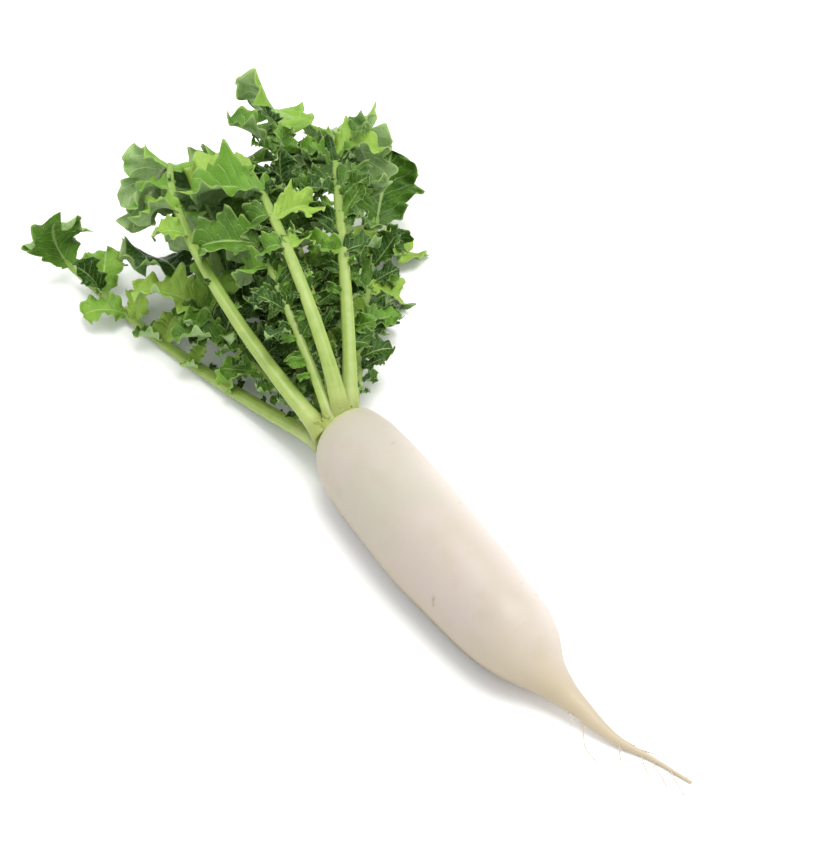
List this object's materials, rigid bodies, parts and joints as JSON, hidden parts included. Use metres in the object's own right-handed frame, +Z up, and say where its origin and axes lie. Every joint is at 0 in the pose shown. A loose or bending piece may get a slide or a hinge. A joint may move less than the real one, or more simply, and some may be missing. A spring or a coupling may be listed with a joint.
{
  "type": "daikon radish",
  "caption": "Long white taproot that tapers to a thin curved thread, with a short green crown and a loose fan of lobed leaves, lying on its belly.",
  "frame": {"origin": "middle of the whole plant's footprint, on the surface that it lies on", "axes": "+X from the leaves to the thin end of the root, +Z up from the surface"},
  "size_m": [0.6774, 0.314, 0.1525],
  "materials": {
    "root_skin": "smooth moist skin, satin",
    "crown_skin": "satin",
    "leaf": "soft satin"
  },
  "bodies": {
    "root": {"taproot": "root_skin", "crown": "crown_skin", "leaf_low_left": "leaf", "leaf_long_left": "leaf", "leaf_middle": "leaf", "leaf_high_middle": "leaf", "leaf_high_right": "leaf", "leaf_low_right": "leaf", "leaf_under": "leaf", "leaf_under_left": "leaf", "leaf_tall": "leaf", "leaf_heart": "leaf"}
  },
  "joints": []
}
